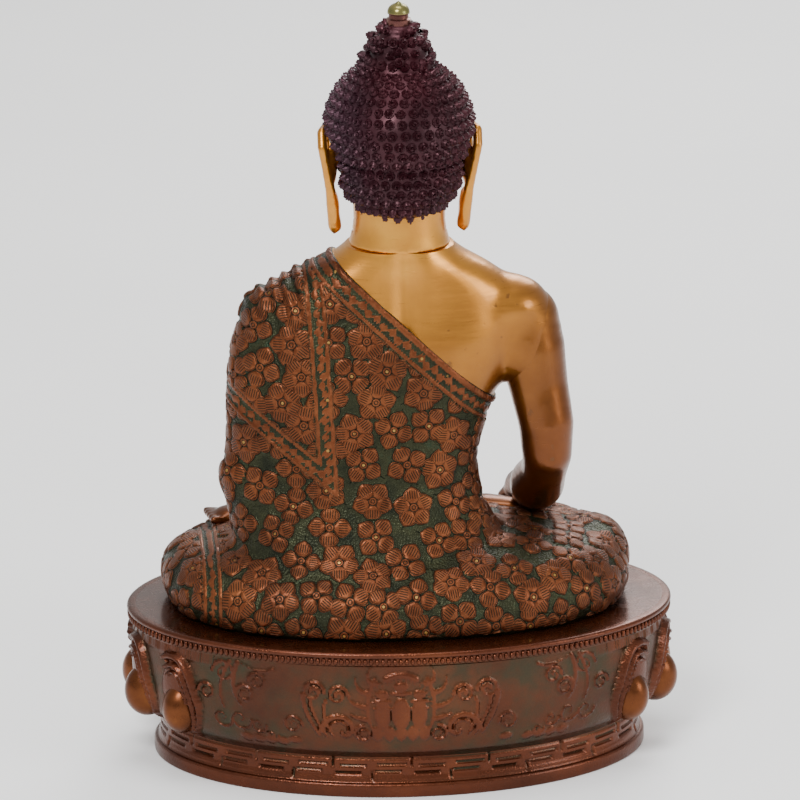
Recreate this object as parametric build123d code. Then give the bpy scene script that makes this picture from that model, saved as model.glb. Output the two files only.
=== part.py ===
from build123d import *
import math
import os

# Seated brass statue in the earth-touching pose, on an oval pedestal. It is a set of hollow castings, which
# are fitted and brazed or bolted together.
# Units are millimetres. The origin is the middle of the pedestal's foot, on the surface that it stands on.
# The figure faces -Y, +X is its own left side, and +Z is up.

# ---- pedestal ----
FOOT_RX = 172.0          # half width of the oval foot
FOOT_RY = 112.0          # half depth of the oval foot
PLINTH_TOP = 10.0        # plain plinth under the fret band
BAND_TOP = 28.0          # top of the fret band
DRUM_TOP = 96.0          # top of the bulging drum, under the rim
DECK_Z = 107.0           # top of the seat plate and of the rim
PLATE_THICK = 5.0        # seat plate
RIM_OUT = 18.0           # how far the rim stands out past the foot, at the ends
SIDE_SHARE = 0.35        # the share of any such flare that the long sides get
RIM_SEAT = 6.0           # the seat plate's edge, inside the rim's
RIM_BORE = 14.0          # the ledge's inner edge, inside the rim's
CAST_WALL = 4.0          # wall of the larger castings
PLINTH_WALL = 8.0
PLINTH_ROUND = 2.0       # rounding of the plinth's upper edge
BAND_IN = 4.5            # the top of the fret band, inside the foot's line
DRUM_PROFILE = [(BAND_TOP, -5.0), (36.0, 3.0), (48.0, 9.0), (62.0, 12.5), (78.0, 13.5), (DRUM_TOP, 12.0)]
BOSS_ANGLES = (-31.5, -10.5, 10.5, 31.5)      # four lotus bosses on each end, from the X axis
BOSS_Z = 52.0
BOSS_SIZE = (15.0, 16.0, 23.0)        # radial, tangential and vertical half sizes
BOSS_SINK = 4.0                       # how far a boss's centre lies inside the rim's line

# ---- fasteners ----
STUD_R = 4.0             # M8 studs
STUD_PLACES = [(0.0, 55.0), (-75.0, -20.0), (75.0, -20.0)]
STUD_LOW, STUD_HIGH = 84.0, 121.0
STUD_HOLE_R = 4.5
LEG_BOSS_R = 11.0
LEG_ROOF = 146.0         # underside of the leg casting's roof, where its stud bosses end
WASHER_R, WASHER_THICK = 10.0, 1.6
NUT_FLATS, NUT_THICK = 13.0, 6.5
COVER_THICK = 2.0
COVER_LIFT = 1.0         # the cover plate lies this far above the surface that the foot stands on
COVER_GAP = 0.5          # gap round the cover plate
COVER_LEDGE = 6.0        # the cover plate's recess reaches this far inside the foot's line
LUG_R = 9.0
LUG_SINK = 3.0           # how far each lug runs into the wall
LUG_TOP = 18.0
SCREW_R, SCREW_HEAD_R, SCREW_LENGTH = 2.0, 4.0, 12.0
SCREW_HEAD_THICK = COVER_LIFT - 0.2
SCREW_ANGLES = (40.0, 140.0, 220.0, 320.0)

# ---- figure ----
NECK_BORE_R = 24.0
NECK_BORE_DEEP = 40.0    # the bore's length below the neck joint
HEAD_BORE_HIGH = 28.0    # and its length up into the head
NECK_JOINT_Z = 366.0
SPIGOT_WALL = 3.0
SPIGOT_HALF = 15.0
# the robe's upper hem lies in a plane: a line in X and Z, straight through in Y
HEM_LEFT = (46.0, 360.0)
HEM_RIGHT = (-61.0, 260.0)
WAIST_Z = 152.0          # the torso casting stands on the leg casting here
ARM_PIN_R, ARM_PIN_HALF = 6.0, 14.0
WRIST_PIN_R, WRIST_PIN_HALF = 3.5, 8.0
BOWL_AT = (8.0, -84.0, 171.0)

# each level of a body part: height, half width, half depth, middle in X, middle in Y
LEG_MOUND = [
    (DECK_Z, 150, 90, 0, 2), (116, 164, 97, 0, 0), (130, 169, 98, 0, -2),
    (143, 161, 90, 0, -3), (152, 138, 77, 0, 0), (157, 112, 62, 0, 4),
]
TORSO = [
    (WAIST_Z, 91, 52, 22, 14), (178, 88, 46, 30, 11), (208, 85, 41, 33, 8), (240, 88, 43, 30, 5),
    (268, 94, 45, 23, 3), (300, 100, 44, 14, 1), (322, 99, 39, 8, 2), (338, 87, 35, 3, 4),
    (350, 70, 33, 1, 5), (359, 49, 32, 0, 6), (NECK_JOINT_Z, 35, 31, 0, 6),
]
DELTOID = ((-90, 1, 306), (25, 25, 24))
# each station of a limb: where it is, and its radius
RIGHT_ARM = [
    ((-90, 1, 316), 22.0), ((-96, 2, 294), 25.5), ((-101, 6, 262), 22.5), ((-106, 12, 232), 18.5),
    ((-108, 10, 208), 17.5), ((-107, -20, 190), 18.0), ((-103, -50, 176), 14.0), ((-101, -72, 167), 11.5),
]
ARM_JOINT = 1            # the arm is a separate casting below this station
LEFT_FOREARM = [((104, 12, 204), 22.0), ((92, -30, 192), 21.0), ((66, -60, 181), 17.0),
                ((44, -74, 174), 14.0)]
RIGHT_SHIN = [((-146, -26, 128), 21.0), ((-112, -62, 127), 24.0), ((-52, -84, 130), 22.0),
              ((8, -86, 140), 17.0), ((50, -74, 148), 13.0)]
LEFT_SHIN = [((146, -26, 127), 21.0), ((112, -62, 126), 23.5), ((52, -82, 126), 21.0), ((-8, -80, 128), 17.0)]
# each station of a hand or foot: where it is, its half width, its half thickness
RIGHT_HAND = [((-101, -72, 167), 11.5, 11.5), ((-100, -92, 157), 16, 9), ((-99, -99, 142), 20, 7.5),
              ((-98, -101, 124), 18.5, 6.5), ((-97, -102, 109), 13, 4.5)]
LEFT_HAND = [((44, -74, 174), 14, 14), ((30, -80, 170), 17, 9), ((8, -84, 165), 21, 7),
             ((-16, -86, 164), 19, 6), ((-38, -86, 164), 11, 4.5)]
LEFT_FOOT = [((-26, -68, 148), 12, 11), ((-44, -62, 151), 15, 9), ((-64, -55, 152), 17, 8),
             ((-80, -50, 152), 14, 6)]
RIGHT_FOOT = [((50, -74, 148), 13, 12.9), ((70, -66, 154), 15, 9), ((96, -56, 155), 17, 8),
              ((120, -46, 153), 14, 6)]
# the bowl's section: distance from its axis, height over its foot
BOWL_OUTSIDE = [(0, 0), (11, 0), (11, 2.5), (20, 7), (25, 15), (24.5, 22), (21.5, 28)]
BOWL_INSIDE = [(19.5, 28), (22.3, 21.5), (22.5, 15), (18, 9), (10, 5.5), (0, 5)]
BOWL_CLEAR_R, BOWL_CLEAR_HIGH = 26.0, 30.0    # the room kept for the bowl over the palm

FACE = ((0, -6, 427), (46, 54, 61))
CRANIUM = ((0, 5, 449), (54, 57, 47))
NAPE = ((0, 14, 420), (41, 43, 41))
HAIRLINE_Y, HAIRLINE_Z = -13.0, 462.0
FACE_ROOM = (140.0, 120.0, 120.0)     # the block in front of the hairline that is kept clear of hair
EAR = ((50, 3, 418), (7.5, 13, 27))
LOBE = ((48, 1, 388), (5, 8, 18))
NECK = [(NECK_JOINT_Z, 34.5, 30.5, 0, 6), (376, 32, 30, 0, 6), (396, 31, 31, 0, 5)]
TOPKNOT = [(490, 26.0, 13.0), (503, 18.5, 13.0), (516, 11.5, 6.0)]     # foot of each tier, radius, height
FINIAL_AT = (0.0, 2.0)   # the middle of the topknot and its jewel
STEM_R, FINIAL_R, FINIAL_SHOULDER, FINIAL_TIP = 6.8, 7.8, 527.0, 535.0


def oval(z, offset, inset=0.0):
    """The pedestal's plan at height z: the foot's oval, flared or drawn in by offset, then inset all round."""
    side = offset * SIDE_SHARE if offset > 0 else offset
    return Pos(0, 0, z) * Ellipse(FOOT_RX + offset - inset, FOOT_RY + side - inset)


def oval_block(low, high, offset, inset=0.0):
    """An upright block on the pedestal's plan."""
    return extrude(oval(low, offset, inset), high - low)


def level_loft(levels, inset=0.0):
    """A smooth body through oval levels, inset all round by the wall."""
    return loft([Pos(x, y, z) * Ellipse(rx - inset, ry - inset) for z, rx, ry, x, y in levels])


def station_planes(points):
    """A plane at each station, square to the path there, with its x axis kept near the world's X."""
    planes = []
    for i, at in enumerate(points):
        before = Vector(*points[max(i - 1, 0)])
        after = Vector(*points[min(i + 1, len(points) - 1)])
        along = (after - before).normalized()
        planes.append(Plane(origin=at, x_dir=Vector(1, 0, 0) - along * along.X, z_dir=along))
    return planes


def limb(stations):
    """A round limb through its stations."""
    planes = station_planes([at for at, radius in stations])
    return loft([plane * Circle(radius) for plane, (at, radius) in zip(planes, stations)])


def flat_limb(stations, across):
    """A hand or foot: oval sections, whose wide side lies along the direction across."""
    points = [at for at, wide, thick in stations]
    sections = []
    for i, (at, wide, thick) in enumerate(stations):
        before = Vector(*points[max(i - 1, 0)])
        after = Vector(*points[min(i + 1, len(points) - 1)])
        along = (after - before).normalized()
        side = Vector(*across) - along * along.dot(Vector(*across))
        sections.append(Plane(origin=at, x_dir=side, z_dir=along) * Ellipse(wide, thick))
    return loft(sections)


def ellipsoid(place, radii):
    return Pos(*place) * scale(Sphere(1), by=tuple(radii))


def half_space(point, normal, reach=900.0):
    """A large block on the side of a plane that its normal points to."""
    return Plane(origin=point, z_dir=normal) * extrude(Rectangle(reach, reach), reach / 2)


def hem_side(above):
    """The half space above or below the hem's plane."""
    run, rise = HEM_LEFT[0] - HEM_RIGHT[0], HEM_LEFT[1] - HEM_RIGHT[1]
    normal = Vector(-rise, 0, run).normalized()
    return half_space((HEM_RIGHT[0], 0, HEM_RIGHT[1]), normal if above else normal * -1)


def pin_between(stations, joint, radius, half):
    """A dowel along the limb's path, half on each side of a station."""
    plane = station_planes([at for at, *rest in stations])[joint]
    return plane * Cylinder(radius, 2 * half)


def plinth_ring():
    plinth = fillet(oval_block(0, PLINTH_TOP, 0).edges().sort_by(Axis.Z)[-1], PLINTH_ROUND)
    band = loft([oval(PLINTH_TOP, -1.5), oval((PLINTH_TOP + BAND_TOP) / 2, -4.0), oval(BAND_TOP, -BAND_IN)])
    ring = plinth + band - oval_block(-1, BAND_TOP + 1, -PLINTH_WALL - BAND_IN)
    ring -= oval_block(-1, COVER_LIFT + COVER_THICK, -COVER_LEDGE)
    lug_low = COVER_LIFT + COVER_THICK
    for x, y in lug_places():
        lug = Pos(x, y, (lug_low + LUG_TOP) / 2) * Cylinder(LUG_R, LUG_TOP - lug_low)
        ring += lug & oval_block(0, BAND_TOP, -PLINTH_WALL)
    for x, y in lug_places():
        ring -= Pos(x, y, COVER_LIFT + SCREW_LENGTH / 2) * Cylinder(SCREW_R, SCREW_LENGTH)
    return ring


def lug_places():
    """The cover plate's screws, round the inside of the foot."""
    inset = PLINTH_WALL + BAND_IN + LUG_R - LUG_SINK
    rx, ry = FOOT_RX - inset, FOOT_RY - inset
    return [(rx * math.cos(math.radians(a)), ry * math.sin(math.radians(a))) for a in SCREW_ANGLES]


def cover_plate():
    plate = oval_block(COVER_LIFT, COVER_LIFT + COVER_THICK, -COVER_LEDGE - COVER_GAP)
    for x, y in lug_places():
        plate -= Pos(x, y, COVER_LIFT + COVER_THICK / 2) * Cylinder(SCREW_R, COVER_THICK)
    return plate


def cover_screws():
    """Pan-head screws from below, with their heads in the plate's clearance under the foot."""
    head = Cylinder(SCREW_HEAD_R, SCREW_HEAD_THICK)
    shank = Cylinder(SCREW_R, SCREW_LENGTH)
    return Compound(children=[
        Pos(x, y, COVER_LIFT - SCREW_HEAD_THICK / 2) * head
        + Pos(x, y, COVER_LIFT + SCREW_LENGTH / 2) * shank
        for x, y in lug_places()
    ])


def boss(angle, end):
    a = math.radians(angle)
    x = end * (FOOT_RX + RIM_OUT - BOSS_SINK) * math.cos(a)
    y = (FOOT_RY + RIM_OUT * SIDE_SHARE - BOSS_SINK) * math.sin(a)
    facing = angle if end > 0 else 180 - angle
    return Pos(x, y, BOSS_Z) * Rot(0, 0, facing) * scale(Sphere(1), by=BOSS_SIZE)


def pedestal_drum():
    outer = loft([oval(z, off) for z, off in DRUM_PROFILE])
    for end in (-1, 1):
        for angle in BOSS_ANGLES:
            outer += boss(angle, end)
    return outer - loft([oval(z, off, CAST_WALL) for z, off in DRUM_PROFILE])


def beaded_rim():
    rim = oval_block(DRUM_TOP, DECK_Z, RIM_OUT)
    rim = fillet(rim.edges().sort_by(Axis.Z)[-1], 4.0)
    rim = chamfer(rim.edges().sort_by(Axis.Z)[0], 2.0)
    rim -= oval_block(DECK_Z - PLATE_THICK, DECK_Z + 1, RIM_OUT, RIM_SEAT)
    return rim - oval_block(DRUM_TOP - 1, DECK_Z, RIM_OUT, RIM_BORE)


def seat_plate():
    plate = oval_block(DECK_Z - PLATE_THICK, DECK_Z, RIM_OUT, RIM_SEAT)
    for x, y in STUD_PLACES:
        plate -= Pos(x, y, DECK_Z - PLATE_THICK / 2) * Cylinder(STUD_HOLE_R, PLATE_THICK)
    return plate


def studs():
    middle, length = (STUD_LOW + STUD_HIGH) / 2, STUD_HIGH - STUD_LOW
    return Compound(children=[Pos(x, y, middle) * Cylinder(STUD_R, length) for x, y in STUD_PLACES])


def washers():
    z = DECK_Z - PLATE_THICK - WASHER_THICK / 2
    ring = Cylinder(WASHER_R, WASHER_THICK) - Cylinder(STUD_HOLE_R, WASHER_THICK)
    return Compound(children=[Pos(x, y, z) * ring for x, y in STUD_PLACES])


def nuts():
    low = DECK_Z - PLATE_THICK - WASHER_THICK - NUT_THICK
    nut = extrude(RegularPolygon(NUT_FLATS / 2, 6, major_radius=False), NUT_THICK)
    nut -= Pos(0, 0, NUT_THICK / 2) * Cylinder(STUD_R, NUT_THICK)
    return Compound(children=[Pos(x, y, low) * nut for x, y in STUD_PLACES])


def foot(stations):
    return flat_limb(stations, (0, 1, 0))


def arm_joint_side(below):
    plane = station_planes([at for at, radius in RIGHT_ARM])[ARM_JOINT]
    return half_space(plane.origin, plane.z_dir if below else plane.z_dir * -1)


def shoulder_dowel():
    return pin_between(RIGHT_ARM, ARM_JOINT, ARM_PIN_R, ARM_PIN_HALF)


def wrist_dowel():
    return pin_between(RIGHT_ARM, len(RIGHT_ARM) - 1, WRIST_PIN_R, WRIST_PIN_HALF)


def right_arm():
    """The arm below the shoulder joint, let into the side of the torso."""
    arm = limb(RIGHT_ARM) & arm_joint_side(below=True)
    return arm - level_loft(TORSO) - shoulder_dowel() - wrist_dowel()


def torso_shell():
    """Both torso castings in one, before the cut along the hem: hollow, with a round bore up the neck."""
    hollow = TORSO[:-3]
    shoulder = limb(RIGHT_ARM[:4]) + ellipsoid(*DELTOID)
    outer = level_loft(TORSO) + (shoulder & arm_joint_side(below=False)) + limb(LEFT_FOREARM)
    bore = Cylinder(NECK_BORE_R, NECK_BORE_DEEP, align=(Align.CENTER, Align.CENTER, Align.MAX))
    outer -= Pos(0, TORSO[-1][4], NECK_JOINT_Z) * bore
    return outer - level_loft(hollow, CAST_WALL) - shoulder_dowel()


def leg_casting(parts_on_it):
    """The crossed legs and hips: a hollow mound, shins across its front, open below, with stud bosses."""
    outer = level_loft(LEG_MOUND) + limb(LEFT_SHIN) + limb(RIGHT_SHIN)
    outer &= half_space((0, 0, DECK_Z), (0, 0, 1))
    hollow = [level for level in LEG_MOUND if level[0] < LEG_ROOF]
    hollow[0] = (DECK_Z - 2, *hollow[0][1:])
    legs = outer - level_loft(hollow, CAST_WALL + 1)
    for x, y in STUD_PLACES:
        legs += Pos(x, y, (DECK_Z + LEG_ROOF) / 2) * Cylinder(LEG_BOSS_R, LEG_ROOF - DECK_Z)
        legs -= Pos(x, y, (DECK_Z + STUD_HIGH) / 2) * Cylinder(STUD_R, STUD_HIGH - DECK_Z)
    for part in parts_on_it:
        legs -= part
    return legs


def alms_bowl():
    """A round bowl with a turned-in lip, on a small foot."""
    base = Polyline(*BOWL_OUTSIDE[:3])
    wall = Spline(*BOWL_OUTSIDE[2:])
    lip = Line(BOWL_OUTSIDE[-1], BOWL_INSIDE[0])
    hollow = Spline(*BOWL_INSIDE)
    axis = Line(BOWL_INSIDE[-1], BOWL_OUTSIDE[0])
    section = make_face([base, wall, lip, hollow, axis])
    return Pos(*BOWL_AT) * revolve(Plane.XZ * section, Axis.Z)


def bowl_seat():
    """The space over the palm that the bowl's foot stands in."""
    x, y, z = BOWL_AT
    return Pos(x, y, z + BOWL_CLEAR_HIGH / 2) * Cylinder(BOWL_CLEAR_R, BOWL_CLEAR_HIGH)


def head_outside():
    head = ellipsoid(*FACE) + level_loft(NECK)
    for side in (-1, 1):
        for (x, y, z), radii in (EAR, LOBE):
            head += ellipsoid((side * x, y, z), radii)
    return head


def head_shell():
    (x, y, z), radii = FACE
    head = head_outside() - ellipsoid((x, y, z), [r - CAST_WALL for r in radii])
    socket = Cylinder(NECK_BORE_R, HEAD_BORE_HIGH, align=(Align.CENTER, Align.CENTER, Align.MIN))
    return head - Pos(0, TORSO[-1][4], NECK_JOINT_Z - 1) * socket


def hair_cap():
    cap = ellipsoid(*CRANIUM) + ellipsoid(*NAPE)
    for low, radius, high in TOPKNOT:
        cap += Pos(*FINIAL_AT, low + high / 2) * Cylinder(radius, high)
    face_room = Box(*FACE_ROOM, align=(Align.CENTER, Align.MAX, Align.MAX))
    cap -= Pos(0, HAIRLINE_Y, HAIRLINE_Z) * face_room
    return cap - head_outside()


def finial():
    """The jewel on top: a short stem with a pointed cap, standing on the topknot."""
    low = TOPKNOT[-1][0] + TOPKNOT[-1][2]
    profile = [(0, FINIAL_TIP), (0, low), (STEM_R, low), (STEM_R, FINIAL_SHOULDER)]
    profile += [(FINIAL_R, FINIAL_SHOULDER), (6.6, FINIAL_SHOULDER + 3.6), (3.6, FINIAL_SHOULDER + 6.3)]
    section = make_face(Polyline(*profile, close=True))
    return Pos(*FINIAL_AT) * revolve(Plane.XZ * section, Axis.Z)


def neck_spigot():
    tube = Cylinder(NECK_BORE_R, 2 * SPIGOT_HALF) - Cylinder(NECK_BORE_R - SPIGOT_WALL, 2 * SPIGOT_HALF)
    return Pos(0, TORSO[-1][4], NECK_JOINT_Z) * tube


def build():
    shell = torso_shell()
    arm = right_arm()
    bowl = alms_bowl()
    right_hand = flat_limb(RIGHT_HAND, (1, 0, 0)) - arm - wrist_dowel()
    left_hand = flat_limb(LEFT_HAND, (0, 1, 0)) - shell - bowl_seat()
    left_foot = foot(LEFT_FOOT) - arm - right_hand
    right_foot = foot(RIGHT_FOOT) - shell
    robe = shell & hem_side(above=False)
    skin = shell & hem_side(above=True)
    head = head_shell()
    return {
        "plinth_ring": plinth_ring(), "cover_plate": cover_plate(), "cover_screws": cover_screws(),
        "pedestal_drum": pedestal_drum(), "beaded_rim": beaded_rim(), "seat_plate": seat_plate(),
        "studs": studs(), "washers": washers(), "nuts": nuts(),
        "leg_casting": leg_casting([left_foot, right_foot, left_hand, right_hand, arm, robe]),
        "robed_torso": robe, "bare_shoulder": skin,
        "right_arm": arm, "right_hand": right_hand, "left_hand": left_hand,
        "left_foot": left_foot, "right_foot": right_foot,
        "shoulder_dowel": shoulder_dowel(), "wrist_dowel": wrist_dowel(), "alms_bowl": bowl,
        "neck_spigot": neck_spigot(), "head_shell": head, "hair_cap": hair_cap(), "finial": finial(),
    }


os.makedirs("parts", exist_ok=True)
for name, shape in build().items():
    export_step(shape, f"parts/{name}.step")
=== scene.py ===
import math

import bmesh
import bpy
import numpy as np
from mathutils import Euler, Matrix, Vector
from mathutils.bvhtree import BVHTree
from mathutils.kdtree import KDTree


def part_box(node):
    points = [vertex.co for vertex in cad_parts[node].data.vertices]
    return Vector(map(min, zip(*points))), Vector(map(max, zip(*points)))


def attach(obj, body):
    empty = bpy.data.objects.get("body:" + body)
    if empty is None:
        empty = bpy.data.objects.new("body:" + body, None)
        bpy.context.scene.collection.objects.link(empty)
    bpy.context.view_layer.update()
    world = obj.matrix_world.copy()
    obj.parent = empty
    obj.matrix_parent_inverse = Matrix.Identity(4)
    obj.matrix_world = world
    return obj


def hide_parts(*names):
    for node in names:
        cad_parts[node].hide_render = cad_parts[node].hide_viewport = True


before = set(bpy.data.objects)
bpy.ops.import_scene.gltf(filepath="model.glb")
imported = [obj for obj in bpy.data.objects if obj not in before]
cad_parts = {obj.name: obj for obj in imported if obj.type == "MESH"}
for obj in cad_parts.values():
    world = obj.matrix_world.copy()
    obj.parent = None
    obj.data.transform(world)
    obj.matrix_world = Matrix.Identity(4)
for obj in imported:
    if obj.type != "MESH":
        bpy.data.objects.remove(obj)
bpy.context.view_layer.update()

# A hollow cast-brass statue: a seated figure in a robe of chased flowers, on an oval lotus pedestal.
# Sizes are written in millimetres and multiplied by MM. The figure faces -Y, +X is its own left, +Z is up.

MM = 0.001
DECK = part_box("seat_plate")[1].z
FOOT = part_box("plinth_ring")
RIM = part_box("beaded_rim")
FOOT_RX, FOOT_RY = FOOT[1].x, FOOT[1].y
RIM_RX, RIM_RY = RIM[1].x, RIM[1].y
BAND_LOW, BAND_HIGH = 10 * MM, FOOT[1].z
GOLDEN = math.pi * (3 - math.sqrt(5))


# ---------------------------------------------------------------- camera, floor and light

def set_camera():
    """Behind the statue, a little to its left and above it, with a long lens."""
    turn, rise, tilt = math.radians(4.5), math.radians(17.8), math.radians(-0.1)
    target, distance = Vector((-0.7 * MM, 0, 250.5 * MM)), 4.5
    back = Vector((math.sin(turn) * math.cos(rise), math.cos(turn) * math.cos(rise), math.sin(rise)))
    data = bpy.data.cameras.new("camera")
    data.lens, data.sensor_width, data.clip_end = 293.3, 36, 100
    camera = bpy.data.objects.new("camera", data)
    bpy.context.scene.collection.objects.link(camera)
    camera.rotation_mode = "QUATERNION"
    camera.location = target + back * distance
    aim = (-back).to_track_quat("-Z", "Y")
    camera.rotation_quaternion = aim @ Matrix.Rotation(tilt, 4, "Z").to_quaternion()
    bpy.context.scene.camera = camera


def area_light(name, place, size, power, colour=(1, 1, 1)):
    data = bpy.data.lights.new(name, "AREA")
    data.shape, data.size, data.energy, data.color = "DISK", size, power, colour
    lamp = bpy.data.objects.new(name, data)
    bpy.context.scene.collection.objects.link(lamp)
    lamp.location = place
    lamp.rotation_mode = "QUATERNION"
    lamp.rotation_quaternion = (Vector((0, 0, 0.3)) - lamp.location).to_track_quat("-Z", "Y")


def set_studio():
    world = bpy.data.worlds.new("studio")
    bpy.context.scene.world = world
    world.use_nodes = True
    world.node_tree.nodes["Background"].inputs["Color"].default_value = (1.0, 0.99, 0.97, 1)
    world.node_tree.nodes["Background"].inputs["Strength"].default_value = 0.75
    area_light("key", (0.9, 2.0, 2.2), 1.1, 75)
    area_light("fill", (-2.2, 1.4, 1.0), 1.2, 28)
    area_light("front", (-0.8, -2.2, 1.8), 1.6, 45)
    area_light("top", (0, 0, 3.0), 1.4, 30)
    deselect()
    bpy.ops.mesh.primitive_plane_add(size=24, location=(0, 0, 0))
    floor = bpy.context.object
    floor.name = "floor"
    n = Finish("pale_floor")
    n.shader.inputs["Roughness"].default_value = 0.7
    pale = n.ramp(n.noise(scale=3, detail=2), [(0.3, (0.93, 0.93, 0.93)), (0.7, (0.95, 0.95, 0.95))])
    n.link(pale, n.shader.inputs["Base Color"])
    floor.data.materials.append(n.made)


# ---------------------------------------------------------------- materials

class Finish:
    """A material, with short names for the node types that it is made of."""

    def __init__(self, name):
        self.made = bpy.data.materials.new(name)
        self.made.use_nodes = True
        self.tree = self.made.node_tree
        self.shader = self.tree.nodes["Principled BSDF"]

    def add(self, kind):
        return self.tree.nodes.new(kind)

    def link(self, source, target):
        self.tree.links.new(source, target)

    def put(self, socket, value):
        if isinstance(value, (int, float)):
            socket.default_value = value
        elif isinstance(value, tuple):
            socket.default_value = (*value, 1) if len(socket.default_value) == 4 else value
        else:
            self.link(value, socket)

    def place(self):
        return self.add("ShaderNodeTexCoord").outputs["Object"]

    def along(self, axis):
        """The place along X, Y or Z, numbered 0, 1 and 2, in metres."""
        node = self.add("ShaderNodeSeparateXYZ")
        self.link(self.place(), node.inputs[0])
        return node.outputs[axis]

    def math(self, work, a, b=0.0, c=0.0):
        node = self.add("ShaderNodeMath")
        node.operation = work
        for socket, value in zip(node.inputs, (a, b, c)):
            self.put(socket, value)
        return node.outputs[0]

    def times(self, a, b):
        return self.math("MULTIPLY", a, b)

    def less(self, a, b):
        return self.math("SUBTRACT", a, b)

    def most(self, a, b):
        return self.math("MAXIMUM", a, b)

    def clamp(self, value):
        """The value, held between 0 and 1."""
        node = self.add("ShaderNodeClamp")
        self.put(node.inputs[0], value)
        return node.outputs[0]

    def line(self, value, middle, core, fade):
        """1 where the value is within core of the middle, and 0 from fade on."""
        return self.between(self.math("ABSOLUTE", self.less(value, middle)), core, fade, 1, 0)

    def between(self, value, low, high, to_low=0.0, to_high=1.0):
        """A smooth step from to_low at low to to_high at high."""
        node = self.add("ShaderNodeMapRange")
        node.interpolation_type = "SMOOTHSTEP"
        for socket, given in zip(node.inputs, (value, low, high, to_low, to_high)):
            self.put(socket, given)
        return node.outputs[0]

    def noise(self, scale, detail=4.0, rough=0.6, stretch=(1, 1, 1)):
        mapping = self.add("ShaderNodeMapping")
        mapping.inputs["Scale"].default_value = stretch
        self.link(self.place(), mapping.inputs["Vector"])
        node = self.add("ShaderNodeTexNoise")
        self.link(mapping.outputs[0], node.inputs["Vector"])
        node.inputs["Scale"].default_value = scale
        node.inputs["Detail"].default_value = detail
        node.inputs["Roughness"].default_value = rough
        return node.outputs["Fac"]

    def cells(self, scale, feature="F1"):
        node = self.add("ShaderNodeTexVoronoi")
        node.feature = feature
        node.inputs["Scale"].default_value = scale
        self.link(self.place(), node.inputs["Vector"])
        return node.outputs["Distance"]

    def ramp(self, value, stops):
        node = self.add("ShaderNodeValToRGB")
        while len(node.color_ramp.elements) < len(stops):
            node.color_ramp.elements.new(0.5)
        for element, (at, colour) in zip(node.color_ramp.elements, stops):
            element.position, element.color = at, (*colour, 1)
        self.put(node.inputs[0], value)
        return node.outputs[0]

    def blend(self, amount, a, b, way="MIX"):
        node = self.add("ShaderNodeMix")
        node.data_type, node.blend_type = "RGBA", way
        self.put(node.inputs["Factor"], amount)
        self.put(node.inputs[6], a)
        self.put(node.inputs[7], b)
        return node.outputs[2]

    def attribute(self, name):
        node = self.add("ShaderNodeAttribute")
        node.attribute_name = name
        return node.outputs["Fac"]

    def coat(self, weight, rough):
        self.shader.inputs["Coat Weight"].default_value = weight
        self.shader.inputs["Coat Roughness"].default_value = rough

    def surface(self, colour, metal, rough, bump, rough_high=0.8):
        """Rough is a pattern with its smoothest and roughest values, bump a height with strength and depth."""
        pattern, smoothest, roughest = rough
        height, strength, distance = bump
        self.link(colour, self.shader.inputs["Base Color"])
        self.shader.inputs["Metallic"].default_value = metal
        roughness = self.between(pattern, 0.3, rough_high, smoothest, roughest)
        self.link(roughness, self.shader.inputs["Roughness"])
        node = self.add("ShaderNodeBump")
        node.inputs["Strength"].default_value = strength
        node.inputs["Distance"].default_value = distance
        self.link(height, node.inputs["Height"])
        self.link(node.outputs[0], self.shader.inputs["Normal"])
        return self.made


def petal_marks(n):
    """The chased lines of one petal, from the piece's own map: u runs out along the petal, v across it."""
    uv = n.add("ShaderNodeUVMap")
    uv.uv_map = "petal"
    split = n.add("ShaderNodeSeparateXYZ")
    n.link(uv.outputs[0], split.inputs[0])
    u, v = split.outputs[0], split.outputs[1]
    out = n.math("SQRT", n.math("ADD", n.times(u, u), n.times(v, v)))
    span = n.math("DIVIDE", n.less(u, PETAL_START), 1 - PETAL_START)
    arch = n.math("SINE", n.times(n.clamp(span), math.pi))
    wide = n.times(n.math("POWER", arch, PETAL_POWER), PETAL_WIDTH)
    inside = n.less(wide, n.math("ABSOLUTE", v))
    edge = n.line(inside, 0.005, 0.012, 0.04)
    second = n.line(inside, 0.085, 0.008, 0.024)
    ribs = n.math("FRACT", n.math("ADD", n.math("DIVIDE", v, 0.11), 0.5))
    rib = n.times(n.line(ribs, 0.5, 0.10, 0.24), n.between(inside, 0.11, 0.15))
    rib = n.times(rib, n.times(n.between(u, 0.36, 0.46), n.between(u, 0.74, 0.86, 1, 0)))
    lines = n.most(n.times(n.most(second, rib), n.between(inside, 0.0, 0.02)), edge)
    ring = n.line(out, 0.20, 0.012, 0.035)
    pit = n.line(out, 0.085, 0.012, 0.03)
    middle = n.between(out, 0.19, 0.22, 1, 0)
    lines = n.most(n.blend(middle, lines, pit), ring)
    petal = n.most(n.between(inside, -0.01, 0.03), middle)
    return lines, petal, n.between(out, 0.05, 0.085, 1, 0)


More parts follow.
